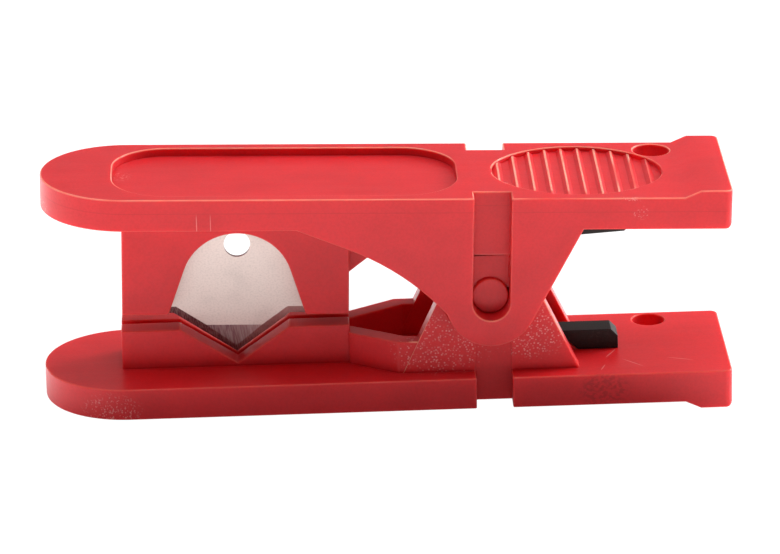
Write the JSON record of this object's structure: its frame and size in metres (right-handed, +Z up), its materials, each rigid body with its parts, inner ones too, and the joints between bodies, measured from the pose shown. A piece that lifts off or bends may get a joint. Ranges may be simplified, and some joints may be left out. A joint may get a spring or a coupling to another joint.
{
  "type": "hydraulic hose cutter",
  "caption": "Hand tool that cuts bicycle hydraulic brake hose: two red moulded jaws on a snap-in pivot, a pointed steel blade, a grooved anvil and a black return spring.",
  "frame": {"origin": "centre of the footprint, at the height of the lowest face, which is the lip under the lower handle", "axes": "+X along the tool from the blade towards the handles, +Y across the tool along the pivot axis, +Z up from the lower jaw to the upper jaw"},
  "size_m": [0.1004, 0.025, 0.0353],
  "materials": {
    "red_plastic": "satin moulded plastic",
    "blade_steel": "fine ground",
    "black_plastic": "matte"
  },
  "bodies": {
    "lower": {"lower_jaw": "red_plastic", "return_spring": "black_plastic"},
    "upper": {"upper_jaw": "red_plastic", "blade": "blade_steel"}
  },
  "joints": [
    {"name": "jaw_pivot", "type": "hinge", "parent": "lower", "child": "upper", "pos_m": [0.01516, 0, 0.01735], "axis": [0, 1, 0], "range_deg": [-2.6, 34], "stiffness_Nm_per_rad": 0.5, "deforming": ["return_spring"]}
  ]
}
